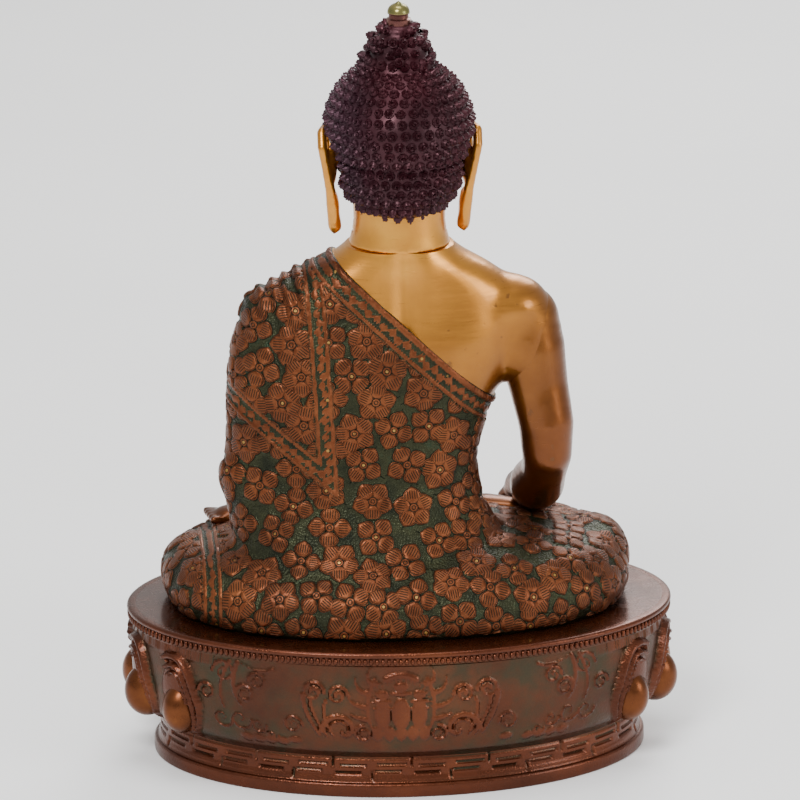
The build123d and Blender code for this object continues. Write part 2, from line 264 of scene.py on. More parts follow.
def chased_robe():
    """Copper red-brown petals on stippled green patina, with a bright middle in some of the flowers."""
    n = Finish("chased_robe")
    lines, petal, dot = petal_marks(n)
    plain = n.attribute("plain")
    flowered = n.less(1.0, plain)
    borders = n.times(plain, n.between(n.attribute("relief"), 0.25, 0.6))
    petal = n.most(n.times(petal, flowered), borders)
    lines = n.times(lines, flowered)
    fine = n.noise(220, 3)
    copper = n.ramp(n.noise(18, 5), [(0.25, (0.062, 0.016, 0.005)), (0.55, (0.135, 0.037, 0.012)),
                                     (0.8, (0.23, 0.075, 0.024))])
    copper = n.blend(n.between(fine, 0.4, 0.8, 0, 0.3), copper, (0.27, 0.10, 0.04))
    green = n.ramp(n.noise(60, 4), [(0.3, (0.010, 0.012, 0.006)), (0.6, (0.028, 0.030, 0.013)),
                                    (0.85, (0.014, 0.042, 0.026))])
    colour = n.blend(petal, green, copper)
    colour = n.blend(n.times(lines, 0.85), colour, (0.006, 0.010, 0.006))
    bright = n.times(dot, n.between(n.noise(40, 1), 0.5, 0.56))
    colour = n.blend(bright, colour, (0.34, 0.19, 0.05))
    stipple = n.times(n.cells(620), n.less(1.0, petal))
    height = n.math("ADD", n.less(n.times(n.noise(300, 3), 0.35), lines), n.times(stipple, 0.9))
    return n.surface(colour, 0.82, (fine, 0.36, 0.55), (height, 0.75, 0.0007))


def bare_gold_painted_shade():
    """Brushed gold brass under clear lacquer with small pits, and painted shade that turns it browner low down
    and on the figure's right.
    """
    n = Finish("bare_gold_painted_shade")
    # painted shade: high is 1 up high and towards the figure's left, and 0 low down and on the figure's right,
    # where the gold is blended to brown
    high = n.times(n.between(n.along(2), 0.20, 0.37), n.between(n.along(0), -0.14, -0.04))
    cloud = n.noise(9, 5)
    gold = n.ramp(cloud, [(0.25, (0.38, 0.14, 0.018)), (0.55, (0.56, 0.24, 0.032)),
                          (0.8, (0.76, 0.40, 0.062))])
    # painted shade colour: the darker brown for the shaded low parts and the figure's right side
    brown = n.ramp(cloud, [(0.3, (0.075, 0.018, 0.004)), (0.75, (0.20, 0.062, 0.013))])
    pits = n.between(n.noise(130, 2, 0.4), 0.70, 0.76)
    colour = n.blend(n.times(pits, 0.6), n.blend(high, brown, gold), (0.11, 0.045, 0.015))
    n.coat(0.25, 0.15)
    brush = n.noise(38, 6, 0.7, (1, 1, 22))
    height = n.math("ADD", n.times(brush, 0.5), n.times(pits, -1.0))
    return n.surface(colour, 0.92, (brush, 0.27, 0.42), (height, 0.22, 0.0004), rough_high=0.75)


def base_brown(name, relief, gloss, tint=1.0):
    """Red-brown lacquer: glossy on the plain parts, with green-black left in the recesses of the relief."""
    n = Finish(name)
    stops = [(0.25, (0.036, 0.008, 0.002)), (0.55, (0.085, 0.020, 0.006)), (0.85, (0.155, 0.042, 0.013))]
    colour = n.ramp(n.noise(14, 5), [(at, tuple(c * tint for c in rgb)) for at, rgb in stops])
    if relief:
        low = n.between(n.attribute("relief"), 0.05, 0.55, 1, 0)
        dirt = n.times(low, n.between(n.noise(26, 4), 0.35, 0.7, 0.1, 0.85))
        colour = n.blend(dirt, colour, (0.022, 0.027, 0.013))
    n.coat(0.12 if relief else 0.4, 0.14)
    grain = n.cells(780) if relief else n.noise(260, 3)
    bump = (grain, 0.30 if relief else 0.10, 0.0005)
    return n.surface(colour, 0.8, (n.noise(90, 4), gloss, gloss + 0.14), bump)


def boss_gold():
    """Red-brown on the bulbs, worn to a lighter orange-brown in patches."""
    n = Finish("boss_gold")
    colour = n.ramp(n.noise(30, 5), [(0.3, (0.055, 0.015, 0.005)), (0.55, (0.13, 0.040, 0.012)),
                                     (0.8, (0.24, 0.085, 0.024))])
    return n.surface(colour, 0.85, (n.noise(120, 3), 0.26, 0.42), (n.noise(240, 3), 0.12, 0.0004))


def dark_curls():
    """Crimson ground between brown curl tips, bluer on the figure's left."""
    n = Finish("dark_curls")
    ground = n.ramp(n.noise(16, 3), [(0.3, (0.020, 0.004, 0.007)), (0.7, (0.050, 0.006, 0.012))])
    tips = n.ramp(n.noise(45, 4), [(0.3, (0.060, 0.032, 0.020)), (0.6, (0.13, 0.075, 0.042)),
                                   (0.85, (0.22, 0.145, 0.075))])
    colour = n.blend(n.between(n.attribute("relief"), 0.35, 0.85), ground, tips)
    colour = n.blend(n.between(n.along(0), 0.012, 0.05, 0, 0.16), colour, (0.045, 0.032, 0.07))
    return n.surface(colour, 0.6, (n.noise(150, 3), 0.34, 0.52), (n.noise(420, 3), 0.2, 0.0004))


def jewel_finish():
    """Gold-green lacquer on a purple-brown stem."""
    n = Finish("jewel_finish")
    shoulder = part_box("finial")[1].z - JEWEL_CAP * MM
    gold = n.ramp(n.noise(90, 3), [(0.3, (0.09, 0.10, 0.035)), (0.75, (0.33, 0.27, 0.09))])
    stem = n.ramp(n.noise(70, 3), [(0.3, (0.06, 0.018, 0.022)), (0.75, (0.17, 0.07, 0.05))])
    colour = n.blend(n.between(n.along(2), shoulder - 0.2 * MM, shoulder + 0.2 * MM), stem, gold)
    return n.surface(colour, 0.85, (n.noise(120, 3), 0.22, 0.36), (n.noise(300, 2), 0.1, 0.0003))


def plain_brass():
    """Turned and sheet brass of the pieces inside and underneath."""
    n = Finish("plain_brass")
    colour = n.ramp(n.noise(40, 4), [(0.3, (0.30, 0.17, 0.05)), (0.7, (0.52, 0.34, 0.12))])
    return n.surface(colour, 1.0, (n.noise(160, 3), 0.30, 0.48), (n.noise(300, 3), 0.12, 0.0003))


# ---------------------------------------------------------------- making and finishing pieces

def deselect():
    for piece in list(bpy.context.selected_objects):
        piece.select_set(False)


def only(*pieces):
    """Select just these pieces, the last one active."""
    deselect()
    for piece in pieces:
        piece.select_set(True)
    bpy.context.view_layer.objects.active = pieces[-1]


def settle(piece):
    """Put the piece's place into its mesh, so that its object sits at the origin."""
    only(piece)
    bpy.ops.object.transform_apply(location=True, rotation=True, scale=True)


def join(pieces, name="melted"):
    """One mesh from balls, given as (corners in mm, faces), and from pieces that are already made."""
    places, faces, base = [], [], 0
    for piece in pieces:
        if isinstance(piece, tuple):
            shape, own = piece[0] * MM, piece[1]
        else:
            shape, own = corners(piece.data), [tuple(f.vertices) for f in piece.data.polygons]
            bpy.data.objects.remove(piece)
        places.append(shape)
        faces += [tuple(base + i for i in face) for face in own]
        base += len(shape)
    return mesh_piece(name, np.concatenate(places), faces)


def weld(pieces):
    """Join finished meshes and keep their painted values."""
    for piece in pieces:
        settle(piece)
    only(*pieces)
    bpy.ops.object.join()
    return bpy.context.object


def modify(piece, kind, **settings):
    only(piece)
    made = piece.modifiers.new(kind.lower(), kind)
    for key, value in settings.items():
        setattr(made, key, value)
    bpy.ops.object.modifier_apply(modifier=made.name)


def remesh(piece, voxel, rounds):
    """Melt what overlaps into one skin, and smooth the joins."""
    modify(piece, "REMESH", mode="VOXEL", voxel_size=voxel, use_smooth_shade=True)
    modify(piece, "SMOOTH", factor=0.5, iterations=rounds)


def finer(piece):
    """Split every face in four, and smooth them."""
    modify(piece, "SUBSURF", levels=1, render_levels=1)


def corners(mesh):
    flat = np.empty(len(mesh.vertices) * 3, np.float32)
    mesh.vertices.foreach_get("co", flat)
    return flat.reshape(-1, 3).astype(float)


def move_corners(mesh, places):
    mesh.vertices.foreach_set("co", places.astype(np.float32).ravel())
    mesh.update()


def corner_normals(mesh):
    flat = np.empty(len(mesh.vertices) * 3, np.float32)
    mesh.vertex_normals.foreach_get("vector", flat)
    return flat.reshape(-1, 3).astype(float)


def paint(mesh, name, values):
    """A value from 0 to 1 at each corner, for the finishes to read."""
    layer = mesh.attributes.get(name) or mesh.attributes.new(name, "FLOAT", "POINT")
    layer.data.foreach_set("value", np.asarray(values, np.float32))


def mesh_piece(name, places, faces):
    mesh = bpy.data.meshes.new(name)
    mesh.from_pydata(np.asarray(places, float).tolist(), [], faces)
    mesh.update()
    piece = bpy.data.objects.new(name, mesh)
    bpy.context.scene.collection.objects.link(piece)
    return piece


def face_out(piece, merge=0.0):
    """Turn all faces outward, after merging the corners that lie closer than merge."""
    only(piece)
    bpy.ops.object.mode_set(mode="EDIT")
    bpy.ops.mesh.select_all(action="SELECT")
    if merge:
        bpy.ops.mesh.remove_doubles(threshold=merge)
    bpy.ops.mesh.normals_make_consistent(inside=False)
    bpy.ops.object.mode_set(mode="OBJECT")


def finish_piece(piece, name, slot, material, *replaced):
    settle(piece)
    piece.name = piece.data.name = name
    piece.data.materials.clear()
    piece.data.materials.append(material)
    only(piece)
    bpy.ops.object.shade_smooth_by_angle(angle=math.radians(50))
    if replaced:
        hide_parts(*replaced)
    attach(piece, "root")
    return piece


SPHERES = {}


def unit_sphere(around, rings):
    """Corners and faces of a sphere of radius 1, made once for each fineness."""
    if (around, rings) not in SPHERES:
        deselect()
        bpy.ops.mesh.primitive_uv_sphere_add(segments=around, ring_count=rings, radius=1)
        first = bpy.context.object
        SPHERES[around, rings] = (corners(first.data), [tuple(f.vertices) for f in first.data.polygons])
        bpy.data.objects.remove(first)
    return SPHERES[around, rings]


def ball(place, radii, turn=(0, 0, 0), around=32):
    """Corners in mm and faces of a ball that is stretched, turned in degrees and put in its place."""
    shape, faces = unit_sphere(around, around // 2)
    turned_by = np.array(Euler([math.radians(a) for a in turn]).to_matrix())
    return (shape * np.array(radii)) @ turned_by.T + np.array(place), faces


def limb(stations, flat=(1, 1, 1), around=24):
    """Balls strung close together along a path of (place, radius), to be melted into a limb."""
    made = []
    for (a, ra), (b, rb) in zip(stations, stations[1:]):
        a, b = Vector(a), Vector(b)
        steps = max(2, int((b - a).length / (min(ra, rb) * 0.3)))
        for i in range(steps + 1):
            t = i / steps
            radius = ra + (rb - ra) * t
            made.append(ball(a.lerp(b, t), [radius * f for f in flat], around=around))
    return made


def curve_through(levels, at):
    """Each column of the levels, smoothly followed at the heights that are asked for."""
    levels = np.array(levels, float)
    z, columns = levels[:, 0], levels[:, 1:]
    slope = np.gradient(columns, z, axis=0)
    i = np.clip(np.searchsorted(z, at) - 1, 0, len(z) - 2)
    run = (z[i + 1] - z[i])[:, None]
    t = ((at - z[i])[:, None]) / run
    start, end = columns[i], columns[i + 1]
    return ((2 * t**3 - 3 * t**2 + 1) * start + (t**3 - 2 * t**2 + t) * run * slope[i]
            + (-2 * t**3 + 3 * t**2) * end + (t**3 - t**2) * run * slope[i + 1])


def ring_faces(rows, around):
    """The faces between rings of corners, each ring having the same number of them."""
    faces = []
    for k in range(rows - 1):
        for i in range(around):
            j = (i + 1) % around
            faces.append((k * around + i, k * around + j, (k + 1) * around + j, (k + 1) * around + i))
    return faces


def lofted(name, levels, around=96, step=3.0, square=2.0):
    """A closed body through oval levels (height, half width, half depth, middle in X, middle in Y)."""
    low, high = levels[0][0], levels[-1][0]
    heights = np.linspace(low, high, max(2, int((high - low) / step)) + 1)
    rows = curve_through(levels, heights)
    angle = np.linspace(0, 2 * math.pi, around, endpoint=False)
    c, s = np.cos(angle), np.sin(angle)
    c, s = np.sign(c) * np.abs(c) ** (2 / square), np.sign(s) * np.abs(s) ** (2 / square)
    places, faces = [], ring_faces(len(heights), around)
    for z, (rx, ry, x, y) in zip(heights, rows):
        places += [((x + rx * a) * MM, (y + ry * b) * MM, z * MM) for a, b in zip(c, s)]
    faces.append(tuple(reversed(range(around))))
    faces.append(tuple(range((len(heights) - 1) * around, len(heights) * around)))
    return mesh_piece(name, places, faces)


def close_up(piece):
    """Fill every open edge loop, and turn all faces outward."""
    made = bmesh.new()
    made.from_mesh(piece.data)
    bmesh.ops.edgeloop_fill(made, edges=[e for e in made.edges if e.is_boundary])
    bmesh.ops.recalc_face_normals(made, faces=made.faces[:])
    made.to_mesh(piece.data)
    made.free()
    piece.data.update()


def cut(piece, point, normal, keep_above, close=True):
    """Cut the piece on a plane, and close it there unless it is to be smoothed first."""
    made = bmesh.new()
    made.from_mesh(piece.data)
    bmesh.ops.bisect_plane(made, geom=made.verts[:] + made.edges[:] + made.faces[:], plane_co=point,
                           plane_no=normal, clear_inner=keep_above, clear_outer=not keep_above)
    made.to_mesh(piece.data)
    made.free()
    if close:
        close_up(piece)


def copy_of(piece, name):
    made = piece.copy()
    made.data = piece.data.copy()
    made.name = name
    bpy.context.scene.collection.objects.link(made)
    return made


# ---------------------------------------------------------------- the figure's body

TORSO = [
    (104, 112, 66, 8, 12), (128, 104, 66, 12, 13), (152, 93, 57, 20, 13), (178, 88, 47, 30, 11),
    (208, 85, 42, 33, 8), (240, 88, 43, 30, 5), (268, 94, 45, 23, 3), (300, 98, 43, 14, 1),
    (322, 93, 38, 8, 2), (338, 80, 34, 3, 4), (350, 63, 32, 1, 5), (359, 46, 31, 0, 6),
    (368, 35, 30, 0, 6), (396, 31, 30, 0, 5),
]
LEGS = [
    (104, 146, 89, 2, 3), (110, 154, 93, 2, 2), (118, 159, 95, 2, 0), (128, 161, 95, 2, -2),
    (138, 155, 91, 2, -3), (147, 143, 80, 0, -2), (154, 118, 66, 0, 2), (159, 88, 52, 0, 6),
]
KNEES = [((139, -16, 125), (25, 42, 23)), ((-136, -16, 130), (25, 42, 25))]
SHINS = [
    [((141, -30, 125), 21), ((112, -62, 127), 22.5), ((52, -80, 127), 20), ((-8, -80, 128), 17)],
    [((-139, -30, 128), 22), ((-112, -62, 127), 22.5), ((-52, -80, 130), 20), ((8, -84, 138), 16),
     ((44, -74, 144), 12)],
]
SHOULDER = [((-85, 1, 304), (27, 26, 27)), ((-74, 4, 320), (30, 26, 21)), ((75, 3, 317), (34, 27, 22))]
RIGHT_ARM = [
    ((-87, 1, 308), 24), ((-91, 3, 288), 24), ((-96, 6, 262), 21), ((-101, 11, 236), 19.6),
    ((-102, 10, 213), 17.8), ((-101, 2, 198), 15.8), ((-98, -18, 182), 19.5), ((-98, -45, 170), 17.0),
    ((-100, -70, 164), 12.5),
]
LEFT_FOREARM = [((104, 12, 204), 21), ((92, -30, 192), 20), ((66, -60, 181), 16.5), ((46, -73, 175), 13.5)]
HEM_LEFT, HEM_RIGHT = Vector((46, 0, 360)), Vector((-61, 0, 260))
WAIST = 152


def hem_normal():
    """Square to the robe's hem, pointing up towards the bare shoulder."""
    run = HEM_LEFT - HEM_RIGHT
    return Vector((-run.z, 0, run.x)).normalized()


def body():
    """Torso, shoulders and crossed legs as one skin, which is then cut into its castings."""
    parts = [lofted("torso", TORSO, square=2.25), lofted("mound", LEGS, square=2.2)]
    parts += [ball(*knee) for knee in KNEES] + [ball(*lump) for lump in SHOULDER]
    parts += [ball((-86, 4, 292), (22, 24, 34))]
    for shin in SHINS:
        parts += limb(shin)
    parts += limb(LEFT_FOREARM)
    skin = join(parts)
    remesh(skin, 3.0 * MM, 26)
    return skin


def back_muscles(piece):
    """The furrow of the spine between two ridges, and the shoulder blade, on the bare skin."""
    p = corners(piece.data) / MM
    n = corner_normals(piece.data)
    back = np.clip(n[:, 1] * 1.6, 0, 1)
    furrow = np.exp(-((p[:, 0] + 1) / 7.0) ** 2) * np.clip((p[:, 2] - 250) / 60, 0, 1)
    furrow *= np.clip((392 - p[:, 2]) / 30, 0, 1)
    ridges = np.exp(-((np.abs(p[:, 0] + 1) - 15) / 9.0) ** 2) * np.clip((p[:, 2] - 270) / 50, 0, 1)
    blade = np.exp(-((p[:, 0] + 50) / 24) ** 2 - ((p[:, 2] - 300) / 26) ** 2)
    push = back * (-3.0 * furrow + 1.2 * ridges + 3.2 * blade)
    move_corners(piece.data, (p + n * push[:, None]) * MM)


# ---------------------------------------------------------------- chased flowers

FLOWER_RADIUS, FLOWER_GAP, FLOWER_HEIGHT = 15.0, 20.5, 1.9
FLOWER_SEED = 11
FOUR_PETALS = 0.62
PETAL_START, PETAL_POWER, PETAL_WIDTH = 0.12, 0.85, 0.46


def scattered(places, gap, seed, rounds=4):
    """Points spread evenly over the skin, at least about the gap apart."""
    order = np.random.RandomState(seed).permutation(len(places))[:26000]
    chosen = []
    cells = {}
    for i in order:
        cell = tuple((places[i] // gap).astype(int))
        near = [j for dx in (-1, 0, 1) for dy in (-1, 0, 1) for dz in (-1, 0, 1)
                for j in cells.get((cell[0] + dx, cell[1] + dy, cell[2] + dz), ())]
        if all(np.sum((places[i] - places[j]) ** 2) > gap * gap for j in near):
            chosen.append(i)
            cells.setdefault(cell, []).append(i)
    chosen = np.array(chosen)
    some = places[order]
    for _ in range(rounds):
        owner = nearest(some, places[chosen])[0]
        for k in range(len(chosen)):
            mine = np.flatnonzero(owner == k)
            if len(mine):
                middle = some[mine].mean(0)
                chosen[k] = order[mine[np.argmin(((some[mine] - middle) ** 2).sum(1))]]
    return chosen


def nearest(places, centres):
    """The number of the nearest centre to each place, and how far it is."""
    tree = KDTree(len(centres))
    for i, c in enumerate(centres):
        tree.insert(c, i)
    tree.balance()
    found = [tree.find(p)[1:] for p in places]
    return np.array([f[0] for f in found]), np.array([f[1] for f in found])


def flower_polar(points, owner, centres, normals, turn):
    """The angle and the distance of each point about its flower's middle, along the skin there."""
    n = normals[owner]
    side = np.cross(n, np.array([0.0, 0.0, 1.0]) + 1e-4)
    side /= np.linalg.norm(side, axis=1)[:, None]
    up = np.cross(side, n)
    d = points - centres[owner]
    d -= n * (d * n).sum(1)[:, None]
    return np.arctan2((d * up).sum(1), (d * side).sum(1)) + turn[owner], np.linalg.norm(d, axis=1)


def petal_place(places, owner, flowers, petals, radius):
    """Each place in its petal's own frame: out along the petal, across it, in flower radii."""
    angle, out = flower_polar(places, owner, *flowers)
    out = out / radius[owner]
    share = 2 * math.pi / petals[owner]
    off = (angle + share / 2) % share - share / 2
    return out * np.cos(off), out * np.sin(off)


def petal_map(places, middles, owner, flowers, petals, radius):
    """Like petal_place, but each corner stays in the petal that its face's middle is in."""
    share = 2 * math.pi / petals[owner]
    own = np.round(flower_polar(middles, owner, *flowers)[0] / share) * share
    angle, out = flower_polar(places, owner, *flowers)
    out = out / radius[owner]
    return out * np.cos(angle - own), out * np.sin(angle - own)


def petal_height(u, v):
    """The relief of a petal and of the flower's middle, from 0 to 1."""
    out = np.hypot(u, v)
    span = np.clip((u - PETAL_START) / (1 - PETAL_START), 0, 1)
    wide = PETAL_WIDTH * np.sin(math.pi * span) ** PETAL_POWER
    inside = wide - np.abs(v)
    dome = np.clip((inside + 0.01) / 0.16, 0, 1) ** 0.7
    ring = np.clip(1 - np.abs(out - 0.12) / 0.10, 0, 1)
    return np.maximum(dome * (1 - 0.25 * span), np.where(out < 0.2, 0.5 + 0.5 * ring, 0))


def chase_flowers(piece, plain):
    """Raise flowers over the skin, and give every face its own petal's map for the fine chased lines."""
    mesh = piece.data
    p, n = corners(mesh) / MM, corner_normals(mesh)
    chosen = scattered(p, FLOWER_GAP, FLOWER_SEED)
    rng = np.random.RandomState(FLOWER_SEED + 1)
    turn = rng.uniform(0, 2 * math.pi, len(chosen))
    petals = np.where(rng.uniform(size=len(chosen)) < FOUR_PETALS, 4, 5)
    size = rng.uniform(0.94, 1.06, len(chosen)) * FLOWER_RADIUS
    flowers = p[chosen], n[chosen], turn
    relief = petal_height(*petal_place(p, nearest(p, p[chosen])[0], flowers, petals, size)) * (1 - plain)
    loops = np.empty(len(mesh.loops), np.int32)
    mesh.loops.foreach_get("vertex_index", loops)
    starts = np.empty(len(mesh.polygons), np.int32)
    counts = np.empty(len(mesh.polygons), np.int32)
    mesh.polygons.foreach_get("loop_start", starts)
    mesh.polygons.foreach_get("loop_total", counts)
    middles = np.add.reduceat(p[loops], starts, axis=0) / counts[:, None]
    owner = np.repeat(nearest(middles, p[chosen])[0], counts)
    along, across = petal_map(p[loops], np.repeat(middles, counts, axis=0), owner, flowers, petals, size)
    layer = mesh.uv_layers.new(name="petal")
    layer.data.foreach_set("uv", np.stack([along, across], 1).astype(np.float32).ravel())
    return relief


# ---------------------------------------------------------------- the robe and the skin

FOLD_TIP = (45.0, 196.0)
FOLD_LINES = [((53.5, 352.0), FOLD_TIP), (FOLD_TIP, (124.0, 262.0))]
FOLD_WIDTH = 12.0
LEG_BAND_X = 132.0


def line_distance(x, z, a, b):
    """How far each point lies from a line in the X-Z plane, how far along it is, and on which side."""
    dx, dz = b[0] - a[0], b[1] - a[1]
    length = math.hypot(dx, dz)
    along = ((x - a[0]) * dx + (z - a[1]) * dz) / length
    side = ((x - a[0]) * dz - (z - a[1]) * dx) / length
    held = np.clip(along, 0, length)
    off = np.hypot(x - a[0] - held * dx / length, z - a[1] - held * dz / length)
    return off, along, side


def rounded(d, middle, half):
    """A half-round ridge of the given half width."""
    return np.sqrt(np.clip(1 - ((d - middle) / half) ** 2, 0, 1))


def running_scroll(along, across, pitch, wide):
    """A vine that winds from side to side, with a curl in each bend."""
    phase = along / pitch * 2 * math.pi
    vine = rounded(across, 0.38 * wide * np.sin(phase), 1.1)
    for shift, side in ((0.25, -1), (0.75, 1)):
        centre = (np.floor(along / pitch - shift + 0.5) + shift) * pitch
        out = np.hypot(along - centre, across - side * 0.12 * wide * -1)
        vine = np.maximum(vine, rounded(out, 0.26 * wide, 0.9))
        vine = np.maximum(vine, rounded(out, 0, 1.2))
    return vine


def robe_borders(p, n):
    """The raised borders of the robe: returns their relief, their height in mm, and where no flowers grow."""
    x, y, z = p.T
    relief, lift, plain = np.zeros(len(p)), np.zeros(len(p)), np.zeros(len(p))

    def raise_up(zone, shapes):
        nonlocal relief, lift, plain
        for shape, height in shapes:
            relief = np.where(zone, np.maximum(relief, shape), relief)
            lift = np.where(zone, np.maximum(lift, shape * height), lift)
        plain = np.where(zone, 1.0, plain)

    run = (HEM_LEFT - HEM_RIGHT).normalized()
    up = hem_normal()
    below = -((x - HEM_RIGHT.x) * up.x + (z - HEM_RIGHT.z) * up.z)
    along = (x - HEM_RIGHT.x) * run.x + (z - HEM_RIGHT.z) * run.z + 0.35 * y
    hem = (below < 17.5) & (z > WAIST)
    rope = rounded(below, 2.6, 2.6) * (0.80 + 0.20 * np.cos((along + below * 0.8) / 3.4 * 2 * math.pi))
    inner = rounded(below, 15.2, 1.5)
    scroll = running_scroll(along, below - 9.4, 13.0, 7.0) * (np.abs(below - 9.4) < 3.9)
    raise_up(hem, [(rope, 2.1), (inner, 1.3), (scroll, 0.8)])
    back = n[:, 1] > -0.15
    offs = [line_distance(x, z, a, b) for a, b in FOLD_LINES]
    off = np.minimum(offs[0][0], offs[1][0])
    inside = (offs[0][2] < 0) & (offs[1][2] < 0) & back & (z > WAIST) & (below > 17)
    track = np.where(offs[0][0] < offs[1][0], offs[0][1], -offs[1][1])
    fold = inside & (off < FOLD_WIDTH + 1.2)
    outer_line, inner_line = rounded(off, 1.5, 1.5), rounded(off, FOLD_WIDTH - 0.4, 1.4)
    vine = running_scroll(track, off - 5.8, 12.0, 6.2) * (np.abs(off - 5.8) < 3.4)
    raise_up(fold, [(outer_line, 1.3), (inner_line, 1.2), (vine, 0.7)])
    lift += np.where(inside, 0.7 * np.clip(off / 1.2, 0, 1), 0)
    cuff = (np.abs(x - LEG_BAND_X) < 6.5) & (z < WAIST) & back
    bars = np.maximum(rounded(x, LEG_BAND_X - 5, 1.3), rounded(x, LEG_BAND_X + 5, 1.3))
    vine = running_scroll(z, x - LEG_BAND_X, 9.0, 5.5) * (np.abs(x - LEG_BAND_X) < 3.4)
    raise_up(cuff, [(np.maximum(bars, 0.7 * vine), 1.1)])
    skirt = z < DECK / MM + 3.5
    relief = np.where(skirt, 0.2, relief)
    plain = np.where(skirt, 1.0, plain)
    return relief, lift, plain


def shoulder_pleats(p):
    """Gathers on the top of the covered shoulder, which die out down the back."""
    x, z = p[:, 0], p[:, 2]
    zone = np.clip((z - 300) / 40, 0, 1) * np.clip((x - 58) / 10, 0, 1) * np.clip((112 - x) / 12, 0, 1)
    return zone * 1.3 * np.sin((x - 0.25 * z) / 9.5 * 2 * math.pi)


def make_robe(skin, finish):
    robe = copy_of(skin, "robe")
    cut(robe, HEM_RIGHT * MM, hem_normal(), keep_above=False, close=False)
    cut(robe, (0, 0, DECK), (0, 0, 1), keep_above=True, close=False)
    finer(robe)
    p, n = corners(robe.data) / MM, corner_normals(robe.data)
    relief, lift, plain = robe_borders(p, n)
    flowers = chase_flowers(robe, plain)
    push = 1.0 + lift + flowers * FLOWER_HEIGHT + shoulder_pleats(p)
    under = np.clip((p[:, 2] - DECK / MM - 0.5) / 3.0, 0, 1)
    moved = p + n * (push * under)[:, None]
    moved[:, 2] = np.maximum(moved[:, 2], DECK / MM)
    move_corners(robe.data, moved * MM)
    paint(robe.data, "relief", np.maximum(relief, flowers))
    paint(robe.data, "plain", plain)
    close_up(robe)
    legs = copy_of(robe, "legs")
    cut(robe, (0, 0, WAIST * MM), (0, 0, 1), keep_above=True)
    cut(legs, (0, 0, WAIST * MM), (0, 0, 1), keep_above=False)
    finish_piece(robe, "robe_body", "patinated_robe", finish, "robed_torso")
    finish_piece(legs, "robe_legs", "patinated_robe", finish, "leg_casting")


def make_shoulder(skin, gold):
    bare = copy_of(skin, "bare")
    cut(bare, (HEM_RIGHT - hem_normal() * 4) * MM, hem_normal(), keep_above=True, close=False)
    finer(bare)
    back_muscles(bare)
    close_up(bare)
    cut(bare, (0, 0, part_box("bare_shoulder")[1].z), (0, 0, 1), keep_above=False)
    finish_piece(bare, "bare_back", "gold_skin", gold, "bare_shoulder")


def make_arm(gold):
    arm = join(limb(RIGHT_ARM) + [ball((-102, 14, 213), (15, 15, 16)), ball((-87, 2, 304), (23, 24, 26))])
    remesh(arm, 2.0 * MM, 22)
    finer(arm)
    finish_piece(arm, "bare_arm", "gold_skin", gold, "right_arm")


HAND_DOWN = {
    "palm": [((-101, -71, 166), 11), ((-100, -88, 158), 13.5), ((-99, -99, 144), 14)],
    "fingers": [[((-111 + 7.6 * k, -101, 142), 5.0), ((-111 + 7.6 * k, -106, 127), 4.6),
                 ((-110 + 7.3 * k, -107, 110 + 1.5 * abs(k - 1.4)), 3.9)] for k in range(4)],
    "thumb": [((-91, -88, 158), 6), ((-83, -97, 146), 5.4), ((-82, -101, 133), 4.6)],
}
HAND_UP = {
    "palm": [((44, -75, 174), 12), ((28, -80, 167), 14), ((6, -84, 162), 15)],
    "fingers": [[((-2, -97 + 8.0 * k, 162), 5.0), ((-18, -97 + 7.8 * k, 161), 4.7),
                 ((-33 + 2 * abs(k - 1.4), -96 + 7.5 * k, 163), 4.0)] for k in range(4)],
    "thumb": [((24, -92, 168), 6), ((8, -98, 171), 5.4), ((-6, -99, 171), 4.6)],
}
SOLES = {
    "left_foot": [((-26, -68, 148), 11), ((-46, -63, 152), 12), ((-66, -57, 153), 12.5),
                  ((-82, -52, 153), 11)],
    "right_foot": [((50, -74, 148), 12), ((72, -66, 153), 12.5), ((98, -56, 154), 13.5),
                   ((116, -48, 153), 12)],
}


def make_hand(name, shape, squash, gold):
    parts = limb(shape["palm"], squash) + limb(shape["thumb"])
    for finger in shape["fingers"]:
        parts += limb(finger)
    hand = join(parts)
    remesh(hand, 1.1 * MM, 5)
    finish_piece(hand, name + "_skin", "gold_skin", gold, name)


def make_foot(name, gold):
    stations = SOLES[name]
    parts = limb(stations, (1, 1, 0.62))
    (x, y, z), _ = stations[-1]
    way = 1 if x > 0 else -1
    for k in range(5):
        root, tip = (x + way * 4, y - 9 + 4.6 * k, z), (x + way * (15 - k), y - 10 + 5.2 * k, z + 1)
        parts += limb([(root, 3.4), (tip, 3.0)])
    sole = join(parts)
    remesh(sole, 1.3 * MM, 6)
    finish_piece(sole, name + "_skin", "gold_skin", gold, name)


# ---------------------------------------------------------------- head, ears and hair

FACE_LUMPS = [
    ((0, -4, 440), (44, 50, 48)), ((0, -12, 406), (35, 40, 32)), ((0, -45, 384), (13, 10, 9)),
    ((21, -36, 410), (15, 13, 16)), ((-21, -36, 410), (15, 13, 16)),
    ((0, -55.5, 401.5), (11.5, 5.0, 3.0)), ((0, -54.5, 395.5), (9.5, 5.2, 3.4)),
    ((17, -44, 429), (12, 8, 6.5)), ((-17, -44, 429), (12, 8, 6.5)),
    ((5.0, -55.5, 412), (4.2, 4.6, 3.6)), ((-5.0, -55.5, 412), (4.2, 4.6, 3.6)),
]
NOSE = [((0, -49, 440), 4.0), ((0, -55, 426), 4.2), ((0, -60, 413.5), 5.2)]
BROW = [((4, -50, 439), 2.6), ((14, -48, 444), 3.0), ((26, -41, 443), 2.6), ((34, -31, 437), 2.2)]
HELIX = [((48, -6, 434), 3.0), ((51, 1, 446), 3.2), ((53, 10, 446), 3.4), ((53, 15, 436), 3.4),
         ((50.5, 14, 422), 3.2), ((47.5, 10, 406), 3.6), ((45.5, 6, 390), 4.4), ((44, 4, 378), 4.8)]


def mirrored(stations):
    return [((-x, y, z), r) for (x, y, z), r in stations]


